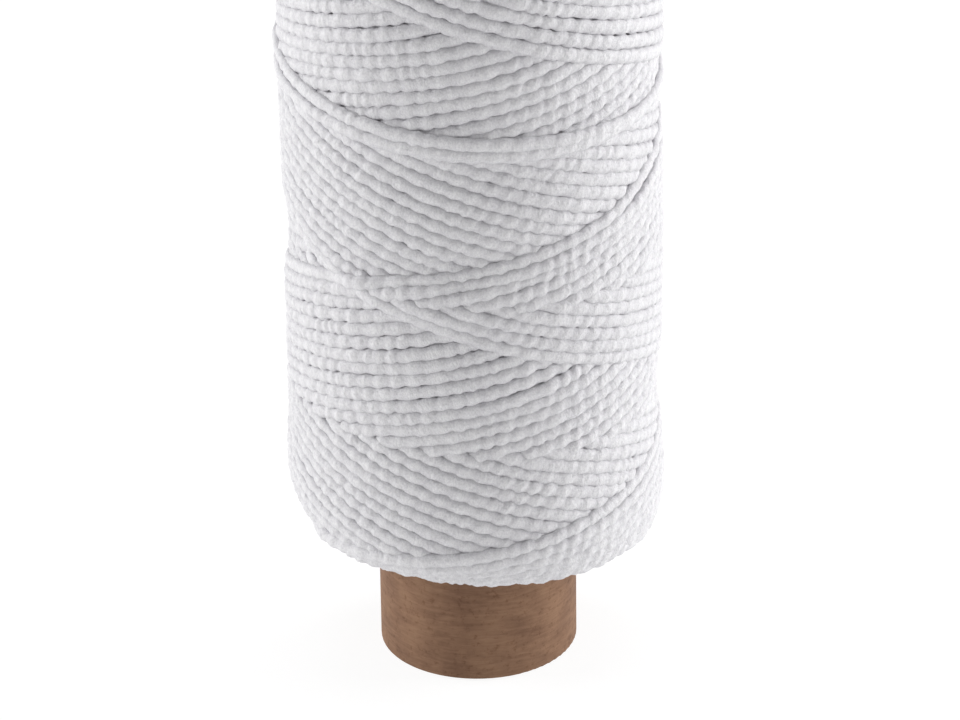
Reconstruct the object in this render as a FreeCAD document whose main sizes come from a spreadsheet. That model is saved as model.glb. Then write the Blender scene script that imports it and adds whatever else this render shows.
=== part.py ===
# Cross-wound thread spool: a spirally wound board tube that carries one long
# covered thread. Sizes in millimetres. +Z is the tube's axis, the origin is
# the centre of the tube's lower rim, the plane the spool stands on.
import FreeCAD
import Part
import Sketcher
import math
import os

V = FreeCAD.Vector

doc = FreeCAD.newDocument("ThreadSpool")

# ---------------------------------------------------------------- sizes ----
SIZES = [
    # alias, value, what it is
    ("tubeLength", 77.6, "length of the board tube"),
    ("boreDia", 11.2, "hole that the spindle goes through"),
    ("linerThick", 0.30, "inner ply of smooth paper"),
    ("boardThick", 0.35, "each of the three grey-board plies"),
    ("wrapThick", 0.25, "outer ply of brown kraft"),
    ("rimBreak", 0.12, "worn rounding of the cut rims"),
    ("seamLead", 44.0, "lead of the outer ply's spiral seam"),
    ("seamWidth", 0.22, "width of the seam's groove"),
    ("seamDeep", 0.09, "depth of the seam's groove"),
    ("seamTurn", 20.0, "angle of the seam at the lower rim, degrees"),
    ("woundDia", 26.4, "outer diameter of the wound thread"),
    ("woundLength", 56.0, "length of the wound thread, just under five half leads"),
    ("woundStart", 10.8, "bare tube below the wound thread"),
    ("shoulderRound", 0.8, "rounding where the outer layers turn back"),
    ("footRound", 0.4, "rounding where the inner layers meet the tube"),
]
sheet = doc.addObject("Spreadsheet::Sheet", "Sizes")
sheet.Label = "Sizes"
for i, (alias, value, note) in enumerate(SIZES, start=1):
    sheet.set("A%d" % i, alias)
    sheet.set("B%d" % i, "%g" % value)
    sheet.set("C%d" % i, note)
    sheet.setAlias("B%d" % i, alias)
doc.recompute()


def size(alias):
    return float(sheet.get(alias))


def cell(alias):
    return "<<Sizes>>.%s" % alias


def origin_plane(body, role):
    for feature in body.Origin.OriginFeatures:
        if getattr(feature, "Role", "") == role:
            return feature
    raise RuntimeError("no %s in %s" % (role, body.Label))


def new_body(name):
    body = doc.addObject("PartDesign::Body", name)
    body.Label = name
    doc.recompute()
    return body


def new_sketch(body, name, role):
    sketch = body.newObject("Sketcher::SketchObject", name)
    sketch.AttachmentSupport = [(origin_plane(body, role), "")]
    sketch.MapMode = "FlatFace"
    return sketch


ORIGIN = (-1, 1)    # the sketch's own origin point


# ------------------------------------------------------- the tube's plies ----
# Five plies lie one inside the other: radii from the bore outwards.
INNER = {
    "core_liner_ply": "{b}/2",
    "core_board_ply_1": "{b}/2 + {l}",
    "core_board_ply_2": "{b}/2 + {l} + {g}",
    "core_board_ply_3": "{b}/2 + {l} + 2*{g}",
    "core_wrap_ply": "{b}/2 + {l} + 3*{g}",
}
OUTER = {
    "core_liner_ply": "{b}/2 + {l}",
    "core_board_ply_1": "{b}/2 + {l} + {g}",
    "core_board_ply_2": "{b}/2 + {l} + 2*{g}",
    "core_board_ply_3": "{b}/2 + {l} + 3*{g}",
    "core_wrap_ply": "{b}/2 + {l} + 3*{g} + {w}",
}


def words(text):
    return text.format(b=cell("boreDia"), l=cell("linerThick"),
                       g=cell("boardThick"), w=cell("wrapThick"))


def number(text):
    return read_sum(text.format(b=size("boreDia"), l=size("linerThick"),
                                g=size("boardThick"), w=size("wrapThick")))


def read_sum(text):
    # reads sums such as "11.2/2 + 0.3 + 2*0.35"
    total = 0.0
    for term in text.split("+"):
        term = term.strip()
        if "/" in term:
            a, b = term.split("/")
            total += float(a) / float(b)
        elif "*" in term:
            a, b = term.split("*")
            total += float(a) * float(b)
        else:
            total += float(term)
    return total


def ply_tube(name):
    """A ply as a ring drawn on the base plane and padded to the tube's length."""
    body = new_body(name)
    ring = new_sketch(body, name + "_ring", "XY_Plane")
    ring.addGeometry(Part.Circle(V(0, 0, 0), V(0, 0, 1), number(INNER[name])), False)
    ring.addGeometry(Part.Circle(V(0, 0, 0), V(0, 0, 1), number(OUTER[name])), False)
    for k, rule in ((0, INNER[name]), (1, OUTER[name])):
        ring.addConstraint(Sketcher.Constraint("Coincident", k, 3, ORIGIN[0], ORIGIN[1]))
        c = ring.addConstraint(Sketcher.Constraint("Radius", k, ring.Geometry[k].Radius))
        ring.setExpression("Constraints[%d]" % c, words(rule))
    doc.recompute()
    pad = body.newObject("PartDesign::Pad", name + "_length")
    pad.Profile = ring
    pad.Length = size("tubeLength")
    pad.setExpression("Length", cell("tubeLength"))
    doc.recompute()
    return body, pad


def rim_edges(feature, radius):
    """Names of the circular rim edges of one radius, at both ends."""
    found = []
    for i, edge in enumerate(feature.Shape.Edges, start=1):
        curve = edge.Curve
        if isinstance(curve, Part.Circle) and abs(curve.Radius - radius) < 1e-4 \
                and edge.isClosed():
            found.append("Edge%d" % i)
    return found


plies = []
for name in ("core_liner_ply", "core_board_ply_1", "core_board_ply_2",
             "core_board_ply_3", "core_wrap_ply"):
    body, pad = ply_tube(name)
    plies.append(body)
    if name in ("core_liner_ply", "core_wrap_ply"):
        # the cut rims are rubbed round: inside on the liner, outside on the wrap
        radius = number(INNER[name] if name == "core_liner_ply" else OUTER[name])
        worn = body.newObject("PartDesign::Fillet", name + "_worn_rims")
        worn.Base = (pad, rim_edges(pad, radius))
        worn.Radius = size("rimBreak")
        worn.setExpression("Radius", cell("rimBreak"))
        doc.recompute()
        if len(worn.Base[1]) != 2:
            raise RuntimeError("%s: %d rim edges" % (name, len(worn.Base[1])))

# the wrap's spiral butt seam: a shallow square groove that climbs the tube
wrap = plies[-1]
before_seam = wrap.Shape.Volume
wrap_r = number(OUTER["core_wrap_ply"])
seam_z = 3.0            # the groove starts and ends this far outside the rims
groove = new_sketch(wrap, "core_wrap_ply_seam_section", "XZ_Plane")
x0 = wrap_r - size("seamDeep")
x1 = wrap_r + 0.3
half = size("seamWidth") / 2.0
corners = [V(x0, -seam_z - half, 0), V(x1, -seam_z - half, 0),
           V(x1, -seam_z + half, 0), V(x0, -seam_z + half, 0)]
for a, b in zip(corners, corners[1:] + corners[:1]):
    groove.addGeometry(Part.LineSegment(a, b), False)
for k in range(4):
    groove.addConstraint(Sketcher.Constraint("Coincident", k, 2, (k + 1) % 4, 1))
groove.addConstraint(Sketcher.Constraint("Horizontal", 0))
groove.addConstraint(Sketcher.Constraint("Horizontal", 2))
groove.addConstraint(Sketcher.Constraint("Vertical", 1))
groove.addConstraint(Sketcher.Constraint("Vertical", 3))
c = groove.addConstraint(Sketcher.Constraint("DistanceX", -1, 1, 0, 1, x0))
groove.setExpression("Constraints[%d]" % c,
                     words(OUTER["core_wrap_ply"]) + " - " + cell("seamDeep"))
c = groove.addConstraint(Sketcher.Constraint("DistanceX", 0, 1, 0, 2, x1 - x0))
groove.setExpression("Constraints[%d]" % c, cell("seamDeep") + " + 0.3")
c = groove.addConstraint(Sketcher.Constraint("DistanceY", 1, 1, 1, 2, 2 * half))
groove.setExpression("Constraints[%d]" % c, cell("seamWidth"))
groove.addConstraint(Sketcher.Constraint("DistanceY", 0, 1, -1, 1, seam_z + half))
doc.recompute()
seam = wrap.newObject("PartDesign::SubtractiveHelix", "core_wrap_ply_seam")
seam.Profile = groove
seam.ReferenceAxis = (groove, ["V_Axis"])
seam.Mode = 0           # pitch and height
seam.Pitch = size("seamLead")
seam.setExpression("Pitch", cell("seamLead"))
seam.Height = size("tubeLength") + 2 * seam_z
seam.setExpression("Height", cell("tubeLength") + " + 6")
seam.LeftHanded = False
doc.recompute()
# the body is turned so that the seam leaves the lower rim at seamTurn
wrap.Placement = FreeCAD.Placement(V(0, 0, 0), FreeCAD.Rotation(V(0, 0, 1), size("seamTurn")))
wrap.setExpression("Placement.Rotation.Angle", cell("seamTurn"))
doc.recompute()
cut_away = before_seam - wrap.Shape.Volume
turns = size("tubeLength") / size("seamLead")
wanted = size("seamWidth") * size("seamDeep") \
    * 2 * math.pi * (wrap_r - size("seamDeep") / 2) * turns
print("seam groove takes away %.3f mm3, section times turns gives %.3f"
      % (cut_away, wanted))
if not 0.9 * wanted < cut_away < 1.1 * wanted:
    raise RuntimeError("the seam groove cut nothing or too much")

# --------------------------------------------------- the wound thread ----
# One closed ring of the winding's outer form: the thread is wound onto the
# tube in crossing layers, which turn back at two flat ends with round
# shoulders. It bears on the wrap ply all the way along.
winding = new_body("thread_winding")
form = new_sketch(winding, "thread_winding_half", "XZ_Plane")
ri = wrap_r
ro = size("woundDia") / 2.0
z0 = size("woundStart")
z1 = z0 + size("woundLength")
s = size("shoulderRound")
f = size("footRound")


def arc(cx, cz, radius, a0, a1):
    return Part.ArcOfCircle(Part.Circle(V(cx, cz, 0), V(0, 0, 1), radius),
                            math.radians(a0), math.radians(a1))


form.addGeometry(Part.LineSegment(V(ri, z1 - f, 0), V(ri, z0 + f, 0)), False)      # 0 bore
form.addGeometry(arc(ri + f, z0 + f, f, 180, 270), False)                          # 1 lower foot
form.addGeometry(Part.LineSegment(V(ri + f, z0, 0), V(ro - s, z0, 0)), False)      # 2 lower end
form.addGeometry(arc(ro - s, z0 + s, s, 270, 360), False)                          # 3 lower shoulder
form.addGeometry(Part.LineSegment(V(ro, z0 + s, 0), V(ro, z1 - s, 0)), False)      # 4 outside
form.addGeometry(arc(ro - s, z1 - s, s, 0, 90), False)                             # 5 upper shoulder
form.addGeometry(Part.LineSegment(V(ro - s, z1, 0), V(ri + f, z1, 0)), False)      # 6 upper end
form.addGeometry(arc(ri + f, z1 - f, f, 90, 180), False)                           # 7 upper foot
joins = [(0, 2, 1, 1), (1, 2, 2, 1), (2, 2, 3, 1), (3, 2, 4, 1),
         (4, 2, 5, 1), (5, 2, 6, 1), (6, 2, 7, 1), (7, 2, 0, 1)]
for a, pa, b, pb in joins:
    form.addConstraint(Sketcher.Constraint("Tangent", a, pa, b, pb))
form.addConstraint(Sketcher.Constraint("Vertical", 0))
form.addConstraint(Sketcher.Constraint("Horizontal", 2))
c = form.addConstraint(Sketcher.Constraint("DistanceX", -1, 1, 0, 2, ri))
form.setExpression("Constraints[%d]" % c, words(OUTER["core_wrap_ply"]))
c = form.addConstraint(Sketcher.Constraint("DistanceX", -1, 1, 4, 1, ro))
form.setExpression("Constraints[%d]" % c, cell("woundDia") + " / 2")
c = form.addConstraint(Sketcher.Constraint("DistanceY", -1, 1, 2, 1, z0))
form.setExpression("Constraints[%d]" % c, cell("woundStart"))
c = form.addConstraint(Sketcher.Constraint("DistanceY", 2, 1, 6, 2, z1 - z0))
form.setExpression("Constraints[%d]" % c, cell("woundLength"))
for k, alias in ((1, "footRound"), (3, "shoulderRound"),
                 (5, "shoulderRound"), (7, "footRound")):
    c = form.addConstraint(Sketcher.Constraint("Radius", k, size(alias)))
    form.setExpression("Constraints[%d]" % c, cell(alias))
doc.recompute()
around = winding.newObject("PartDesign::Revolution", "thread_winding_around")
around.Profile = form
around.ReferenceAxis = (form, ["V_Axis"])
around.Angle = 360.0
doc.recompute()

# ------------------------------------------------------- check and write ----
nodes = plies + [winding]
for obj in doc.Objects:
    if "Invalid" in obj.State or "Error" in obj.State:
        raise RuntimeError("%s is %s" % (obj.Label, obj.State))
for body in nodes:
    shape = body.Shape
    if shape.isNull() or not shape.isValid() or len(shape.Solids) != 1:
        raise RuntimeError("%s has no single valid solid" % body.Label)
form_area = math.pi * (ro ** 2 - ri ** 2) * (z1 - z0)
print("winding volume %.1f mm3, plain ring %.1f mm3" % (winding.Shape.Volume, form_area))

os.makedirs("parts", exist_ok=True)
for body in nodes:
    shape = body.Shape
    box = shape.optimalBoundingBox(True, False)
    print("%-18s volume %9.2f mm3  z %.2f..%.2f  r %.3f" % (
        body.Label, shape.Volume, box.ZMin, box.ZMax, box.XMax))
    shape.exportStep(os.path.join("parts", body.Label + ".step"))
print("wrote %d nodes" % len(nodes))
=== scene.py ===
import math
import bpy
import numpy as np
from mathutils import Matrix, Vector


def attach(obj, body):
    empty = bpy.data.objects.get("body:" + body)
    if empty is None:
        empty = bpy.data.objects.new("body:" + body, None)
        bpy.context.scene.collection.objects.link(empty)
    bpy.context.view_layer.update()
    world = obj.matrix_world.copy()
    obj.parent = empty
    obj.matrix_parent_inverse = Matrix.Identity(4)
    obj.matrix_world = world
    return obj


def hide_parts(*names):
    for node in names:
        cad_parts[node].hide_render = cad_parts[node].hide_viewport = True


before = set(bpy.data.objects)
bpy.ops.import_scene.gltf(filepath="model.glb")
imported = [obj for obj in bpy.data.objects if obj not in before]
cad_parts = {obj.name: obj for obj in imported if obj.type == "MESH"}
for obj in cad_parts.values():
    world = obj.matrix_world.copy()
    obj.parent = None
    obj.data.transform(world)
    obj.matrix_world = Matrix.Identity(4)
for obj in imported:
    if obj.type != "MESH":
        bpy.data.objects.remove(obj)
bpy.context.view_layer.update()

MM = 0.001

# =====================================================================
# The winding, in millimetres: angle theta runs round the spool from the
# front (-Y) towards +X, z is the height above the tube's lower rim.
# =====================================================================
TUBE_R = 7.2
OUT_R = 13.2
D_LAT = 0.90        # width of the thread where it lies on the package
D_RAD = 0.54        # its height there, pressed flat under tension
LEAD = 23.3         # rise of one turn
RISE = LEAD / (2 * math.pi)
STROKE = math.pi * (5 - 0.042)     # turning of one stroke, end to end
LAG = 0.55          # the thread trails its guide, so that a turn is sharp at
                    # first and then eases back into the full rise
SPAN = RISE * (STROKE - 2 * LAG)
DIP = 0.307 * RISE * LAG           # how far a turn swings past its start
Z_LOW = 10.8
Z_A = 12.0                         # where the guide turns at the lower end
Z_HIGH = Z_A + SPAN + DIP + D_LAT / 2
TILT = 0.80         # the layers lie a little slanting on the tube
LAST_TURN = -1.28                  # where the last stroke leaves the lower end
STROKES = 330
SHOULDER = 0.6
SINK = 0.085                       # how far a thread beds into those below

NT, NZ = 900, 620
Z_MIN = 8.9
DZ = 0.1


def stroke_height(tau):
    """Height gained after a turn at a lower end, tau along the way."""
    return RISE * (tau - 2 * LAG * (1 - np.exp(-tau / LAG)))


# The last stroke stops on its way up: the guide stands still, and the thread
# goes twice more round the middle before its end is tucked in at the back.
# Angles in degrees from the front of the turn named first, heights in mm.
STOP = [(1, 57, 39.9), (1, 103, 42.9), (1, 138, 44.6), (1, 172, 45.15), (1, 206, 45.4),
        (2, -80, 45.4), (2, -60, 45.2), (2, -45, 44.95), (2, -30, 44.75), (2, -10, 44.6),
        (2, 10, 44.55), (2, 25, 44.65), (2, 40, 44.92), (2, 55, 45.2), (2, 75, 45.6),
        (2, 110, 46.4), (2, 180, 47.3), (2, 230, 47.5), (3, -100, 47.35), (3, -80, 46.95),
        (3, -60, 46.35), (3, -40, 45.85), (3, -20, 45.5), (3, 0, 45.38), (3, 20, 45.33),
        (3, 40, 45.3), (3, 55, 45.3), (3, 70, 45.5), (3, 90, 46.0), (3, 120, 46.6),
        (3, 160, 47.1)]
STOP = np.array([(2 * math.pi * n + math.radians(a), z) for n, a, z in STOP])


def fuller(tau):
    """What a stroke lies higher just above the lower end."""
    return np.interp(tau, [0, 0.23, 0.58, 0.93, 1.28, 1.63, 1.98, 2.6],
                     [0, 0.08, 0.36, 0.48, 0.48, 0.35, 0.18, 0])


EASE = {0: 1.0, 2: 0.72, 4: 0.42, 6: 0.18}


def last_height(th):
    z = Z_A + stroke_height(th - LAST_TURN) + fuller(th - LAST_TURN)
    z = z - np.interp(th, [5.3, 5.9, 6.3, 7.0], [0.0, 0.25, 0.45, 0.58])
    at = th > STOP[0, 0]
    z[at] = np.interp(th[at], STOP[:, 0], STOP[:, 1])
    return smooth(z, 30)


def smooth(a, n):
    w = np.hanning(2 * n + 3)[1:-1]
    w /= w.sum()
    return np.convolve(np.pad(a, n, mode="edge"), w, mode="valid")


def widest(a, n):
    out = a.copy()
    for k in range(1, n + 1):
        out[k:] = np.maximum(out[k:], a[:-k])
        out[:-k] = np.maximum(out[:-k], a[k:])
    return out


def slow_noise(rng, x, step):
    """A smooth random line along x, about one bend per step."""
    n = int(math.ceil((x[-1] - x[0]) / step)) + 5
    knots = rng.standard_normal(n)
    u = (x - x[0]) / step + 1
    i = np.floor(u).astype(int)
    f = u - i
    p0, p1, p2, p3 = knots[i - 1], knots[i], knots[i + 1], knots[i + 2]
    return 0.5 * (2 * p1 + (p2 - p0) * f + (2 * p0 - 5 * p1 + 4 * p2 - p3) * f ** 2
                  + (3 * p1 - p0 - 3 * p2 + p3) * f ** 3)


def cells(th, z, v, nc, nz, r):
    ti = np.floor(((th + v * nc / r) / (2 * math.pi) % 1.0) * NT).astype(int) % NT
    zi = np.clip(((z + v * nz - Z_MIN) / DZ).astype(int), 0, NZ - 1)
    return ti, zi


def wind():
    """Lays the thread stroke by stroke on a height field of the package."""
    rng = np.random.default_rng(11)
    skin = np.full((NT, NZ), TUBE_R)
    lats = np.linspace(-0.12, 0.12, 5)
    fine = np.linspace(-0.45, 0.45, 19)
    lift = D_RAD / 2 * np.sqrt(1 - (lats / (D_LAT / 2)) ** 2)
    crown = D_RAD / 2 * np.sqrt(np.clip(1 - (fine / (D_LAT / 2)) ** 2, 0, 1))
    wander = {}
    rows = []
    short = np.abs(rng.normal(0, 0.09, STROKES + 1))     # by how much a turn falls short
    for i in range(STROKES):
        last = i == STROKES - 1
        up = (STROKES - 1 - i) % 2 == 0
        start = LAST_TURN - (STROKES - 1 - i) * STROKE
        done = i / (STROKES - 1)
        r_mean = TUBE_R + D_RAD / 2 + (OUT_R - TUBE_R - D_RAD) * done
        turning = STOP[-1, 0] - start if last else STROKE
        n = int(turning * math.hypot(r_mean, RISE) / 0.12)
        tau = np.linspace(0, turning, n, endpoint=False)
        z = stroke_height(tau)
        z = z + fuller(tau) if up else SPAN - z
        # a stroke wanders a little, much as the one a double stroke before
        grid = np.linspace(0, STROKE, 500)          # a stroke's own way
        fresh = 0.5 * slow_noise(rng, grid, 1.1) + 0.45 * slow_noise(rng, grid, 0.4)
        w = fresh if up not in wander else 0.78 * wander[up] + 0.62 * fresh
        wander[up] = w
        inner = np.clip(np.minimum(z, SPAN - z) / 2.0, 0.0, 1)
        low, high = short[i:i + 2] if up else short[i:i + 2][::-1]
        flat = (Z_A + z + 0.085 * np.interp(tau, grid, w) * inner
                + low * np.clip(1 - z / 3, 0, 1) - high * np.clip(1 - (SPAN - z) / 3, 0, 1))
        th = start + tau
        if last:
            flat = last_height(th)
        elif i >= STROKES - 8:
            # the strokes before lie that way too, less and less
            if up:
                flat = flat - EASE[STROKES - 1 - i] * np.interp(
                    tau, [6.5, 7.2, 7.6, 8.3, 10.5, 12.0], [0, 0.25, 0.45, 0.5, 0.4, 0])
            else:
                flat = flat - EASE[STROKES - 2 - i] * np.interp(
                    tau, [0, 2, 4.3, 10.6], [0, 0.3, 0.45, 0])
        z = flat - TILT * np.sin(th)
        dz = np.gradient(z, tau)
        norm = np.sqrt(r_mean ** 2 + dz ** 2)
        nc, nz = -dz / norm, r_mean / norm
        raw = np.full(n, -1.0)
        for v, li in zip(lats, lift):
            ti, zi = cells(th, z, v, nc, nz, r_mean)
            raw = np.maximum(raw, skin[ti, zi] + li)
        sink = np.full(n, SINK + 0.16 * (i >= STROKES - 2))    # the newest lie snug
        if last:
            # but the level turns at the end stand a little proud
            sink = SINK + np.interp(th, [8.2, 9.6], [0.16, 0.05])
        r = smooth(widest(raw, 1), 5) - sink
        r = np.maximum(r, smooth(raw, 2) - sink - 0.05)
        # pressed in where the turns crowd at the ends, with small shoulders
        x = np.minimum(flat - Z_LOW, Z_HIGH - flat)
        y = np.clip(SHOULDER - x, 0, SHOULDER)
        drop = SHOULDER - np.sqrt(SHOULDER ** 2 - y ** 2)
        u = np.clip((x - 0.5) / 2.0, 0, 1)
        room = 0.16 + 0.38 * u * u * (3 - 2 * u)
        cap = (TUBE_R + D_RAD / 2 + (OUT_R - TUBE_R - D_RAD) * done + room
               - drop * done)
        r = np.minimum(r, cap)
        r = np.maximum(r, TUBE_R + D_RAD / 2)
        for v, cr in zip(fine, crown):
            ti, zi = cells(th, z, v, nc, nz, r_mean)
            np.maximum.at(skin, (ti, zi), r + cr)
        rows.append(np.c_[th, r, z, flat])
    return np.concatenate(rows), skin


path, skin = wind()
TH, RR, ZZ = path[:, 0], path[:, 1], path[:, 2]

# ---- the thread's two ends -------------------------------------------------
# The start runs straight onto the tube. The free end is drawn in between
# older turns at the back, so that it can't spring off.
tail = np.clip((TH - (TH[-1] - 0.42)) / 0.42, 0, 1)
RR = RR - 0.62 * tail * tail * (3 - 2 * tail)

# ---- which samples show on the finished package ----------------------------
dz = np.gradient(ZZ) / np.gradient(TH)
norm = np.sqrt(RR ** 2 + dz ** 2)
nc, nz = -dz / norm, RR / norm
seen = np.zeros(len(TH), bool)
newest = TH > LAST_TURN - STROKE - 0.3       # the last two strokes, on top of all
newer = TH > LAST_TURN - 9 * STROKE
for v in (-0.27, 0.0, 0.27):
    ti, zi = cells(TH, ZZ, v, nc, nz, RR)
    top = RR + D_RAD / 2 * math.sqrt(1 - (v / (D_LAT / 2)) ** 2)
    seen |= skin[ti, zi] - top < np.where(newer, 0.18, 0.05)
seen |= newest
end_gap = np.minimum(path[:, 3] - Z_LOW, Z_HIGH - path[:, 3])
at_end = end_gap < 1.15
XYZ = np.c_[RR * np.sin(TH), -RR * np.cos(TH), ZZ]
STEP = np.r_[0, np.linalg.norm(np.diff(XYZ, axis=0), axis=1)]
ARC = np.cumsum(STEP)


def spread_flags(flags, reach):
    """Widens each run of True by reach along the thread."""
    out = flags.copy()
    idx = np.flatnonzero(flags)
    if len(idx) == 0:
        return out
    lo = np.searchsorted(ARC, ARC[idx] - reach)
    hi = np.searchsorted(ARC, ARC[idx] + reach)
    delta = np.zeros(len(flags) + 1)
    np.add.at(delta, lo, 1)
    np.add.at(delta, np.minimum(hi, len(flags)), -1)
    return np.cumsum(delta[:-1]) > 0


share_seen = smooth(seen.astype(float), 9)      # over about 2 mm of thread
seen = spread_flags(share_seen > 0.34, 1.0)
at_end = spread_flags(at_end, 0.4)

# ---- the route: control points, close together where the thread shows ------
gap = np.where(seen, 0.6, np.where(at_end, 1.0, 2.6))
marks = np.cumsum(STEP / gap)
want = np.arange(0, math.floor(marks[-1]) + 1)
pick = np.unique(np.r_[np.searchsorted(marks, want), len(TH) - 1])
pick = pick[pick < len(TH)]
route = XYZ[pick]

curve = bpy.data.curves.new("thread_route", "CURVE")
curve.dimensions = "3D"
curve.resolution_u = 4
spline = curve.splines.new("NURBS")
spline.points.add(len(route) - 1)
co = np.ones((len(route), 4))
co[:, :3] = route * MM
spline.points.foreach_set("co", co.ravel())
spline.order_u = 3
spline.use_endpoint_u = True
route_obj = bpy.data.objects.new("thread_route", curve)
bpy.context.scene.collection.objects.link(route_obj)
bpy.context.view_layer.update()
read = bpy.data.meshes.new_from_object(
    route_obj.evaluated_get(bpy.context.evaluated_depsgraph_get()))
LINE = np.empty(len(read.vertices) * 3)
read.vertices.foreach_get("co", LINE)
LINE = LINE.reshape(-1, 3) / MM
bpy.data.objects.remove(route_obj)
bpy.data.curves.remove(curve)
bpy.data.meshes.remove(read)

line_arc = np.r_[0, np.cumsum(np.linalg.norm(np.diff(LINE, axis=0), axis=1))]
# which sample of the winding each of the line's points stands for: a quadratic
# spline's points sit over its control points at these places of its parameter
over = np.r_[0, np.arange(len(route) - 2) + 0.5, len(route) - 2]
share = np.interp(np.linspace(0, len(route) - 2, len(LINE)), over, ARC[pick])
near = np.clip(np.searchsorted(ARC, share), 0, len(ARC) - 1)
NEWEST = line_arc[np.argmax(newest[near])]      # where the last two strokes begin
LINE_SEEN, LINE_END = seen[near], at_end[near]

# =====================================================================
# Thread meshes
# =====================================================================
rng_look = np.random.default_rng(29)
BUMP_S = np.arange(0, line_arc[-1] + 4, 0.25)


def knots(step):
    return slow_noise(rng_look, BUMP_S, step)


# slow changes along the thread: size of its beads and how they drift
BEAD = np.clip(0.138 + 0.034 * knots(2.6), 0.100, 0.215)
BULGE_2 = 0.006 + 0.005 * knots(1.7)
DRIFT = 0.32 * knots(2.9)
DRIFT_2 = 1.3 * knots(2.0)
FAT = 0.012 * knots(0.9) + 0.012 * knots(3.5)
SWAY = 0.016 * knots(1.6)
BEAD_LONG = 1.30    # length of one bead
FUZZ = 0.022        # how far loose filaments stand out


def section(angles, half_w, half_h, power=2.0):
    c, s = np.cos(angles), np.sin(angles)
    return (half_w * np.sign(c) * np.abs(c) ** (2 / power),
            half_h * np.sign(s) * np.abs(s) ** (2 / power))


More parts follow.
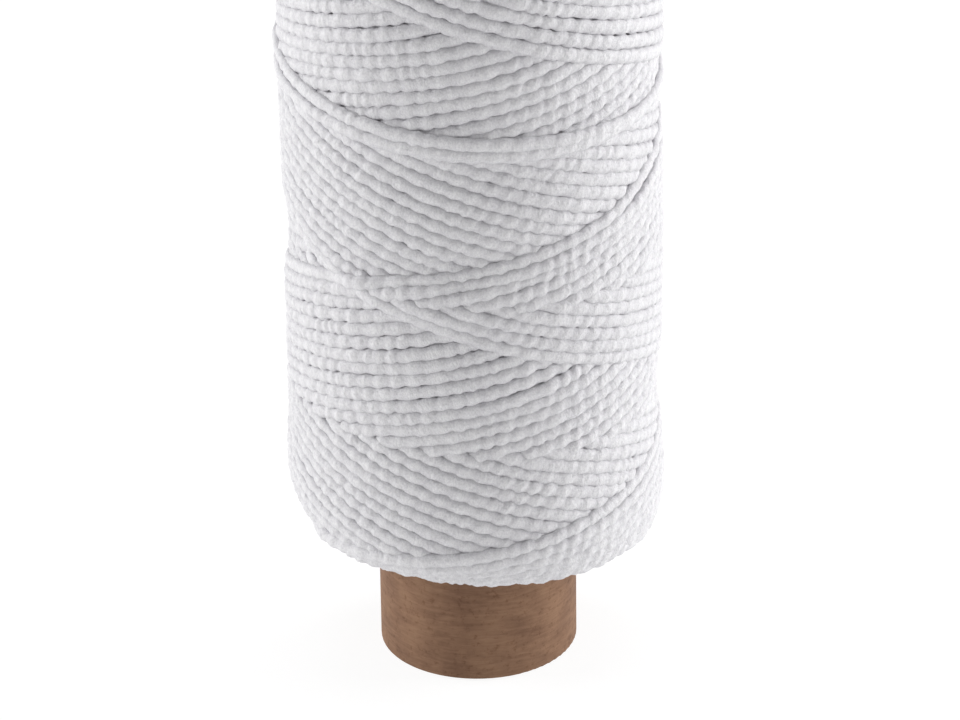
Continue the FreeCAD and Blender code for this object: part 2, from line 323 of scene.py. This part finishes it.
def tube_mesh(name, s_rings, angles, half_w, half_h, lumps, runs=None,
              cap_end=False, cap_start=False, sunk=0.0, painted_shade_base=0.86):
    """A thread stretch: rings at arc lengths s_rings round the read line.
    runs gives the ring indices where each separate stretch starts."""
    n, m = len(s_rings), len(angles)
    p = np.stack([np.interp(s_rings, line_arc, LINE[:, k]) for k in range(3)], 1)
    ds = 0.05
    q = np.stack([np.interp(s_rings + ds, line_arc, LINE[:, k])
                  - np.interp(s_rings - ds, line_arc, LINE[:, k]) for k in range(3)], 1)
    t = q / np.linalg.norm(q, axis=1)[:, None]
    rad = p.copy()
    rad[:, 2] = 0
    rad /= np.linalg.norm(rad, axis=1)[:, None]
    out = rad - (rad * t).sum(1)[:, None] * t
    out /= np.linalg.norm(out, axis=1)[:, None]
    side = np.cross(t, out)
    ex, ey = section(angles, 1.0, 1.0)
    p = p - sunk * out
    w = np.broadcast_to(half_w, (n,))
    h = np.broadcast_to(half_h, (n,))
    x = w[:, None] * ex[None, :]
    y = h[:, None] * ey[None, :]
    bead_and_painted_shade = np.full((n, m), 0.8)
    if lumps is not None:
        pick = lambda a: np.interp(s_rings, BUMP_S, a)[:, None]
        lumps = np.broadcast_to(lumps, (n,))[:, None]
        s = s_rings[:, None]
        phi = angles[None, :]
        turn = np.pi * (s / BEAD_LONG - 0.38 * phi / np.pi + pick(DRIFT))
        bead_and_painted_shade = np.sqrt(np.sin(turn) ** 2 + 0.05)
        fill = (pick(BULGE_2) * np.cos(2 * phi - 2 * np.pi * s / 0.61 + pick(DRIFT_2))
                + pick(FAT)) * lumps
        # a bead is wide at its sides and only a little raised on top
        hairs = rng_look.standard_normal((n, m))
        hairs = 0.5 * hairs + 0.35 * np.roll(hairs, 1, 0) + 0.35 * np.roll(hairs, 1, 1)
        fill = fill + FUZZ * hairs * lumps
        x = x + (pick(BEAD) * (bead_and_painted_shade - 0.64) * lumps + fill) * np.cos(phi)
        bead_and_painted_shade = bead_and_painted_shade ** 2
        y = y + (pick(BEAD) * 0.52 * (bead_and_painted_shade - 0.5) * lumps + fill) * np.sin(phi)
        p = p + side * pick(SWAY) * lumps
        # painted shade: from here on the attribute darkens the colour at the pinches between beads,
        # less on the newest strands
        painted_shade_base = np.broadcast_to(painted_shade_base, (n,))[:, None]
        bead_and_painted_shade = painted_shade_base + (0.56 + 0.44 * bead_and_painted_shade - 0.86) * lumps * np.clip(pick(BEAD) / 0.14, 0, 1.4)
    # painted shade: the colour is darkened along the flanks, where the strands lie against their
    # neighbours
    painted_flank_shade = 1 - np.exp(-(np.clip(0.50 - w[:, None] * np.abs(ex)[None, :], 0, 1) / 0.21) ** 2)
    painted_flank_shade[:, np.sin(angles) < 0] = 0
    bead_and_painted_shade = np.clip(bead_and_painted_shade, 0, 1) * painted_flank_shade
    v = p[:, None, :] + x[..., None] * side[:, None, :] + y[..., None] * out[:, None, :]
    verts = v.reshape(-1, 3) * MM
    # quads between following rings of one stretch
    starts = np.zeros(n, bool)
    if runs is not None:
        starts[runs] = True
    starts[0] = True
    a = np.flatnonzero(~np.r_[starts[1:], True])      # rings with a follower
    j = np.arange(m)
    j2 = (j + 1) % m
    quads = np.stack([a[:, None] * m + j, a[:, None] * m + j2,
                      (a[:, None] + 1) * m + j2, (a[:, None] + 1) * m + j], -1).reshape(-1, 4)
    mesh = bpy.data.meshes.new(name)
    mesh.vertices.add(len(verts))
    mesh.vertices.foreach_set("co", verts.ravel())
    nq = len(quads)
    extra = []
    if cap_end:
        extra.append([(n - 1) * m + k for k in range(m)])
    if cap_start:
        extra.append([k for k in range(m)][::-1])
    loops = np.concatenate([quads.ravel()] + [np.array(e) for e in extra]).astype(np.int32)
    starts_l = np.concatenate([np.arange(nq) * 4]
                              + [np.array([nq * 4 + m * k]) for k in range(len(extra))])
    mesh.loops.add(len(loops))
    mesh.loops.foreach_set("vertex_index", loops)
    mesh.polygons.add(nq + len(extra))
    mesh.polygons.foreach_set("loop_start", starts_l.astype(np.int32))
    mesh.polygons.foreach_set("use_smooth", np.ones(nq + len(extra), bool))
    # the thread's own coordinates in mm: round it, and along it
    girth = 2.3
    u0 = np.broadcast_to(j / m, (len(a), m))
    u1 = np.broadcast_to((j + 1) / m, (len(a), m))
    sa = s_rings[a][:, None] + 0 * u0
    sb = s_rings[a + 1][:, None] + 0 * u0
    base = math.floor(s_rings[0] / 10) * 10
    uv = np.stack([np.stack([u0 * girth, sa - base], -1), np.stack([u1 * girth, sa - base], -1),
                   np.stack([u1 * girth, sb - base], -1), np.stack([u0 * girth, sb - base], -1)], 2)
    uv = np.concatenate([uv.reshape(-1, 2)]
                        + [np.column_stack([0.3 * np.cos(angles), 0.3 * np.sin(angles)])
                           for _ in extra])
    layer = mesh.uv_layers.new(name="thread_mm")
    layer.data.foreach_set("uv", uv.astype(np.float32).ravel())
    # the same stretch laid out in rows, for baked copies of the look
    total = np.concatenate([[0], np.cumsum(np.where(starts[1:], 0.0, np.diff(s_rings)))])
    rows = max(1, int(round(math.sqrt(total[-1] / 3.0))))
    row_len = total[-1] / rows * 1.0001
    ta, tb = total[a][:, None] + 0 * u0, total[a + 1][:, None] + 0 * u0
    row = np.floor(0.5 * (ta + tb) / row_len)
    pad = 0.08
    fu0 = (row + pad / 2 + (1 - pad) * u0) / rows
    fu1 = (row + pad / 2 + (1 - pad) * u1) / rows
    fa = np.clip((ta - row * row_len) / row_len, 0, 1)
    fb = np.clip((tb - row * row_len) / row_len, 0, 1)
    bake = np.stack([np.stack([fa, fu0], -1), np.stack([fa, fu1], -1),
                     np.stack([fb, fu1], -1), np.stack([fb, fu0], -1)], 2)
    bake = np.concatenate([bake.reshape(-1, 2)]
                          + [np.column_stack([0.001 + 0 * angles, 0.001 + 0 * angles])
                             for _ in extra])
    layer = mesh.uv_layers.new(name="OFBake")
    layer.data.foreach_set("uv", bake.astype(np.float32).ravel())
    mesh.uv_layers["thread_mm"].active = True
    # the attribute carries the painted shade of the creases and flanks to the thread material
    shade = mesh.attributes.new("bead_and_painted_shade", "FLOAT", "POINT")
    shade.data.foreach_set("value", np.ascontiguousarray(bead_and_painted_shade, np.float32).ravel())
    mesh.update(calc_edges=True)
    mesh.validate()
    obj = bpy.data.objects.new(name, mesh)
    bpy.context.scene.collection.objects.link(obj)
    return obj


# ---- the whole thread: full size where it lies deep, slimmer inside the
# detailed stretches that cover it -------------------------------------------


def wider(flags, reach):
    """Flags of the line's points, each run of True made longer by reach."""
    idx = np.flatnonzero(flags)
    delta = np.zeros(len(flags) + 1)
    np.add.at(delta, np.searchsorted(line_arc, line_arc[idx] - reach), 1)
    np.add.at(delta, np.minimum(np.searchsorted(line_arc, line_arc[idx] + reach, "right"),
                                len(flags)), -1)
    return np.cumsum(delta[:-1]) > 0


COVERED = LINE_SEEN | LINE_END
INSIDE = ~wider(~COVERED, 2.4)          # well inside a detailed stretch
NEAR = wider(COVERED, 2.0) & ~INSIDE
depth_gap = np.where(line_arc > 0.62 * line_arc[-1], 2.4, 4.6)
fine_gap = np.where(INSIDE, 2.2, np.where(NEAR, 1.3, depth_gap))
ds_line = np.r_[0, np.diff(line_arc)]
marks = np.cumsum(ds_line / fine_gap)
ring_s = np.interp(np.arange(0, marks[-1]), marks, line_arc)
ring_s = np.unique(np.r_[0.0, ring_s, line_arc[-1]])
k = np.clip(np.searchsorted(line_arc, ring_s), 0, len(LINE) - 1)
slim = np.where(INSIDE[k], 0.36, 0.462)
low = np.where(INSIDE[k], 0.23, 0.295)
deep = tube_mesh("thread", ring_s, np.radians([0, 45, 90, 135, 180, 270]), slim, low, None,
                 cap_end=True, cap_start=True, sunk=0.035)

# ---- detailed stretches ------------------------------------------------------
ANGLES = np.radians([-28, 6, 26, 40, 54, 71, 90, 109, 126, 140, 154, 174, 208, 270])
RING = 0.115


def stretches(flags):
    f = np.r_[False, flags, False].astype(int)
    up = np.flatnonzero(np.diff(f) == 1)
    down = np.flatnonzero(np.diff(f) == -1) - 1
    keep = line_arc[down] - line_arc[up] > 0.8
    return list(zip(line_arc[up[keep]], line_arc[down[keep]]))


def build_runs(prefix, flags, step, angles, limit, half_w, half_h, lumps):
    """Splits the runs of flagged thread into pieces of about limit rings.
    A run's ends draw in, so that they finish inside the whole thread."""
    rings, fades, runs, count = [], [], [], 0
    made = []

    def flush():
        if rings:
            s, f = np.concatenate(rings), np.concatenate(fades)
            # the newest strands get a lighter painted crease shade
            made.append(tube_mesh("%s_%02d" % (prefix, len(made) + 1), s, angles,
                                  0.40 + (half_w - 0.40) * f, 0.24 + (half_h - 0.24) * f,
                                  lumps * f * np.where(s > NEWEST, 0.78, 1.0),
                              runs=np.array(runs), sunk=0.035,
                              painted_shade_base=np.where(s > NEWEST, 0.97, 0.86)))
    for s0, s1 in stretches(flags):
        n = max(5, int((s1 - s0) / step) + 1)
        run = np.linspace(s0, s1, n)
        f = np.clip(np.minimum(run - s0, s1 - run) / 0.75, 0, 1)
        f = f * f * (3 - 2 * f)
        for a in range(0, n - 1, limit):       # a very long one in several parts
            part = slice(a, a + limit + 1)
            if count and count + len(run[part]) > limit:
                flush()
                rings, fades, runs, count = [], [], [], 0
            runs.append(count)
            rings.append(run[part])
            fades.append(f[part])
            count += len(run[part])
    flush()
    return made


top_pieces = build_runs("thread_top", LINE_SEEN, RING, ANGLES, 8200, 0.535, 0.325, 1.0)
end_pieces = build_runs("thread_turns", LINE_END & ~LINE_SEEN, 0.30,
                        np.radians([0, 45, 90, 135, 180, 225, 270, 315]), 12000,
                        0.470, 0.310, 0.6)
threads = [deep] + top_pieces + end_pieces

# =====================================================================
# Materials
# =====================================================================
def shader(name):
    mat = bpy.data.materials.new(name)
    mat.use_nodes = True
    tree = mat.node_tree
    tree.nodes.clear()
    out = tree.nodes.new("ShaderNodeOutputMaterial")
    bsdf = tree.nodes.new("ShaderNodeBsdfPrincipled")
    tree.links.new(bsdf.outputs["BSDF"], out.inputs["Surface"])
    return mat, tree, bsdf


def node(tree, kind, **values):
    n = tree.nodes.new("ShaderNode" + kind)
    for key, value in values.items():
        if key.startswith("in_"):
            name = key[3:]
            n.inputs[int(name) if name.isdigit() else name.replace("_", " ")].default_value = value
        else:
            setattr(n, key, value)
    return n


def wire(tree, a, b, out=0, into=0):
    tree.links.new(a.outputs[out], b.inputs[into])
    return b


def maths(tree, op, a, b=None, out=0):
    n = node(tree, "Math", operation=op)
    for k, v in enumerate((a, b)):
        if v is None:
            continue
        if isinstance(v, (int, float)):
            n.inputs[k].default_value = v
        else:
            tree.links.new(v.outputs[out if k == 0 else 0], n.inputs[k])
    return n


def ramp(tree, source, stops, out=0):
    n = node(tree, "ValToRGB")
    e = n.color_ramp.elements
    while len(e) < len(stops):
        e.new(0.5)
    for k, (at, col) in enumerate(stops):
        e[k].position = at
        e[k].color = col if len(col) == 4 else (*col, 1)
    tree.links.new(source.outputs[out], n.inputs["Fac"])
    return n


def mix(tree, kind, fac, a, b):
    n = node(tree, "Mix", data_type="RGBA", blend_type=kind)
    slots = [n.inputs["Factor"]] + [s for s in n.inputs if s.name in "AB" and s.type == "RGBA"]
    for s, v in zip(slots, (fac, a, b)):
        if isinstance(v, (int, float, tuple)):
            s.default_value = v
        else:
            tree.links.new(v.outputs[2] if v.bl_idname == "ShaderNodeMix" else v.outputs[0], s)
    return n


def thread_material():
    mat, tree, bsdf = shader("white_covered_thread")
    uv = node(tree, "UVMap", uv_map="thread_mm")
    place = node(tree, "TexCoord")
    # the covering filaments lie almost square across the thread
    lean = node(tree, "Mapping")
    lean.inputs["Rotation"].default_value = (0, 0, math.radians(9))
    tree.links.new(uv.outputs["UV"], lean.inputs["Vector"])
    long_way = node(tree, "Mapping")
    long_way.inputs["Scale"].default_value = (2.6, 8.5, 1)
    tree.links.new(lean.outputs[0], long_way.inputs["Vector"])
    fibres = node(tree, "TexNoise", in_Scale=1.0, in_Detail=4.0, in_Roughness=0.7,
                  in_Distortion=0.6)
    tree.links.new(long_way.outputs[0], fibres.inputs["Vector"])
    # loose loops of filament: small soft humps
    loops = node(tree, "TexNoise", in_Scale=3.4, in_Detail=3.0, in_Roughness=0.6)
    tree.links.new(uv.outputs["UV"], loops.inputs["Vector"])
    both = maths(tree, "ADD", maths(tree, "MULTIPLY", fibres, 0.55),
                 maths(tree, "MULTIPLY", loops, 1.0))
    bump = node(tree, "Bump", in_Strength=1.0, in_Distance=0.000085)
    tree.links.new(both.outputs[0], bump.inputs["Height"])
    tree.links.new(bump.outputs[0], bsdf.inputs["Normal"])
    # slight changes of shade along the thread and between its filaments
    slow = node(tree, "TexNoise", in_Scale=420.0, in_Detail=2.0, in_Roughness=0.5)
    tree.links.new(place.outputs["Object"], slow.inputs["Vector"])
    tint = ramp(tree, slow, [(0.3, (0.915, 0.909, 0.922)), (0.7, (0.965, 0.961, 0.968))])
    strands = ramp(tree, fibres, [(0.34, (0.88, 0.875, 0.89)), (0.60, (1, 1, 1))])
    colour = mix(tree, "MULTIPLY", 0.8, tint, strands)
    patches = ramp(tree, loops, [(0.34, (0.885, 0.882, 0.893)), (0.62, (1, 1, 1))])
    colour = mix(tree, "MULTIPLY", 0.9, colour, patches)
    # single filaments and the gaps between them
    speck = node(tree, "TexNoise", in_Scale=7.5, in_Detail=2.0, in_Roughness=0.7)
    tree.links.new(uv.outputs["UV"], speck.inputs["Vector"])
    specks = ramp(tree, speck, [(0.36, (0.84, 0.837, 0.848)), (0.60, (1, 1, 1))])
    colour = mix(tree, "MULTIPLY", 0.8, colour, specks)
    # painted shade: the colour is darker in the creases between the beads and along the flanks
    # between strands
    bead_and_painted_shade = node(tree, "Attribute", attribute_name="bead_and_painted_shade")
    painted_crease_shade = ramp(tree, bead_and_painted_shade, [(0.0, (0.83, 0.826, 0.840)), (0.40, (0.905, 0.902, 0.912)),
                               (0.95, (1, 1, 1))], out=2)
    colour = mix(tree, "MULTIPLY", 0.9, colour, painted_crease_shade)
    tree.links.new(colour.outputs[2], bsdf.inputs["Base Color"])
    rough = ramp(tree, fibres, [(0.3, (0.36,) * 3), (0.7, (0.56,) * 3)])
    tree.links.new(rough.outputs[0], bsdf.inputs["Roughness"])
    bsdf.inputs["Specular IOR Level"].default_value = 0.5
    bsdf.inputs["Sheen Weight"].default_value = 0.2
    bsdf.inputs["Sheen Roughness"].default_value = 0.45
    return mat


def board_material(name, dark, light, fleck, across, bump_mm):
    """Rolled paper board: mottled pulp with fibres that run round the tube."""
    mat, tree, bsdf = shader(name)
    place = node(tree, "TexCoord")
    cloud = node(tree, "TexNoise", in_Scale=330.0, in_Detail=4.0, in_Roughness=0.6)
    tree.links.new(place.outputs["Object"], cloud.inputs["Vector"])
    fine = node(tree, "TexNoise", in_Scale=2600.0, in_Detail=3.0, in_Roughness=0.65)
    tree.links.new(place.outputs["Object"], fine.inputs["Vector"])
    # fibres: long round the tube, short up it
    squeeze = node(tree, "Mapping")
    squeeze.inputs["Scale"].default_value = (across, across, across * 7)
    tree.links.new(place.outputs["Object"], squeeze.inputs["Vector"])
    hairs = node(tree, "TexNoise", in_Scale=1.0, in_Detail=4.0, in_Roughness=0.7,
                 in_Distortion=0.6)
    tree.links.new(squeeze.outputs[0], hairs.inputs["Vector"])
    blend = maths(tree, "ADD", maths(tree, "MULTIPLY", cloud, 0.55),
                  maths(tree, "MULTIPLY", hairs, 0.45))
    base = ramp(tree, blend, [(0.36, dark), (0.64, light)])
    flecks = ramp(tree, fine, [(0.30, fleck), (0.44, (1, 1, 1))])
    colour = mix(tree, "MULTIPLY", 0.75, base, flecks)
    tree.links.new(colour.outputs[2], bsdf.inputs["Base Color"])
    height = maths(tree, "ADD", maths(tree, "MULTIPLY", hairs, 0.7),
                   maths(tree, "MULTIPLY", fine, 0.5))
    bump = node(tree, "Bump", in_Strength=1.0, in_Distance=bump_mm * MM)
    tree.links.new(height.outputs[0], bump.inputs["Height"])
    tree.links.new(bump.outputs[0], bsdf.inputs["Normal"])
    rough = ramp(tree, cloud, [(0.3, (0.74,) * 3), (0.7, (0.9,) * 3)])
    tree.links.new(rough.outputs[0], bsdf.inputs["Roughness"])
    bsdf.inputs["Specular IOR Level"].default_value = 0.32
    return mat


THREAD = thread_material()
KRAFT = board_material("brown_kraft_wrap", (0.168, 0.085, 0.048), (0.305, 0.176, 0.106),
                       (0.66, 0.56, 0.48), 420.0, 0.045)
BOARDS = [board_material("grey_board_%d" % k, d, l, (0.66, 0.63, 0.60), 700.0, 0.06)
          for k, (d, l) in enumerate((((0.235, 0.190, 0.150), (0.365, 0.305, 0.245)),
                                      ((0.205, 0.162, 0.125), (0.330, 0.270, 0.215)),
                                      ((0.240, 0.196, 0.156), (0.375, 0.315, 0.255))), 1)]
LINER = board_material("liner_paper", (0.33, 0.255, 0.180), (0.47, 0.375, 0.280),
                       (0.75, 0.70, 0.64), 500.0, 0.03)


def dress(name, mat):
    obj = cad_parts[name]
    for s in obj.material_slots:
        s.material = mat
    if not obj.material_slots:
        obj.data.materials.append(mat)


dress("core_wrap_ply", KRAFT)
for k in (1, 2, 3):
    dress("core_board_ply_%d" % k, BOARDS[k - 1])
dress("core_liner_ply", LINER)
for o in threads:
    o.data.materials.append(THREAD)

# =====================================================================
# Floor and backdrop, light and camera
# =====================================================================
FLOOR_Z = 0.0


def glow_material(name, glow, diffuse):
    mat = bpy.data.materials.new(name)
    mat.use_nodes = True
    tree = mat.node_tree
    tree.nodes.clear()
    out = tree.nodes.new("ShaderNodeOutputMaterial")
    e = node(tree, "Emission", in_Strength=glow)
    e.inputs["Color"].default_value = (1, 1, 1, 1)
    d = node(tree, "BsdfDiffuse")
    d.inputs["Color"].default_value = (diffuse,) * 3 + (1,)
    add = tree.nodes.new("ShaderNodeAddShader")
    tree.links.new(e.outputs[0], add.inputs[0])
    tree.links.new(d.outputs[0], add.inputs[1])
    tree.links.new(add.outputs[0], out.inputs["Surface"])
    return mat


def disc(name, radius, z):
    m = bpy.data.meshes.new(name)
    n = 96
    m.from_pydata([(radius * math.cos(2 * math.pi * k / n), radius * math.sin(2 * math.pi * k / n), z)
                   for k in range(n)], [], [list(range(n))])
    o = bpy.data.objects.new(name, m)
    bpy.context.scene.collection.objects.link(o)
    return o


floor = disc("floor", 6.0, FLOOR_Z)
floor.data.materials.append(glow_material("pale_floor", 0.86, 0.22))

# a plain round sweep behind and above everything
sweep_mesh = bpy.data.meshes.new("sweep")
rows, cols = 24, 64
sv, sf = [], []
for a in range(rows + 1):
    el = math.pi / 2 * a / rows
    for b in range(cols):
        az = 2 * math.pi * b / cols
        sv.append((6 * math.cos(el) * math.cos(az), 6 * math.cos(el) * math.sin(az),
                   -0.02 + 6 * math.sin(el)))
for a in range(rows):
    for b in range(cols):
        sf.append((a * cols + b, a * cols + (b + 1) % cols,
                   (a + 1) * cols + (b + 1) % cols, (a + 1) * cols + b))
sweep_mesh.from_pydata(sv, [], sf)
sweep = bpy.data.objects.new("sweep", sweep_mesh)
bpy.context.scene.collection.objects.link(sweep)
sweep_mesh.materials.append(glow_material("pale_sweep", 1.0, 0.0))
sweep.visible_diffuse = False
sweep.visible_glossy = False
sweep.visible_transmission = False
sweep.visible_shadow = False

world = bpy.data.worlds.new("studio")
bpy.context.scene.world = world
world.use_nodes = True
world.node_tree.nodes["Background"].inputs["Color"].default_value = (1.0, 1.0, 1.0, 1)
world.node_tree.nodes["Background"].inputs["Strength"].default_value = 0.22


def softbox(name, azimuth, elevation, distance, width, height, power, colour=(1, 1, 1)):
    """A soft light; azimuth 0 is the camera's side, elevation in degrees."""
    a, e = math.radians(azimuth), math.radians(elevation)
    target = Vector((0, 0, 0.04))
    at = target + distance * Vector((math.sin(a) * math.cos(e), -math.cos(a) * math.cos(e),
                                     math.sin(e)))
    lamp = bpy.data.lights.new(name, "AREA")
    lamp.shape = "RECTANGLE"
    lamp.size, lamp.size_y = width, height
    lamp.energy = power
    lamp.color = colour
    obj = bpy.data.objects.new(name, lamp)
    obj.location = at
    obj.rotation_euler = (target - at).to_track_quat("-Z", "Y").to_euler()
    obj.visible_camera = False
    bpy.context.scene.collection.objects.link(obj)
    return obj


softbox("soft_left", -104, 14, 0.75, 0.55, 0.6, 4.7)
softbox("soft_right", 104, 14, 0.75, 0.55, 0.6, 5.6)
softbox("soft_top", 165, 79, 0.8, 0.6, 0.5, 1.8)
softbox("soft_front", 8, 44, 0.9, 0.35, 0.35, 0.42)

cam_data = bpy.data.cameras.new("photo_camera")
cam_data.sensor_fit = "HORIZONTAL"
cam_data.sensor_width = 36.0
cam_data.lens = 5101.0 * 36.0 / 960
cam_data.clip_start = 0.01
cam_data.clip_end = 50.0
camera = bpy.data.objects.new("photo_camera", cam_data)
camera.location = (0.0, -0.32726, 0.18817)
turned = (Matrix.Rotation(math.radians(-0.063), 4, "Z")
          @ Matrix.Rotation(math.radians(90 - 26.87), 4, "X")
          @ Matrix.Rotation(math.radians(-0.82), 4, "Z"))
camera.rotation_euler = turned.to_euler()
bpy.context.scene.collection.objects.link(camera)
bpy.context.scene.camera = camera
bpy.context.scene.view_settings.view_transform = "Standard"
bpy.context.scene.view_settings.look = "None"

# =====================================================================
# The thread pieces join the root body, and the CAD thread is hidden
# =====================================================================
for o in threads:
    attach(o, "root")
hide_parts("thread_winding")
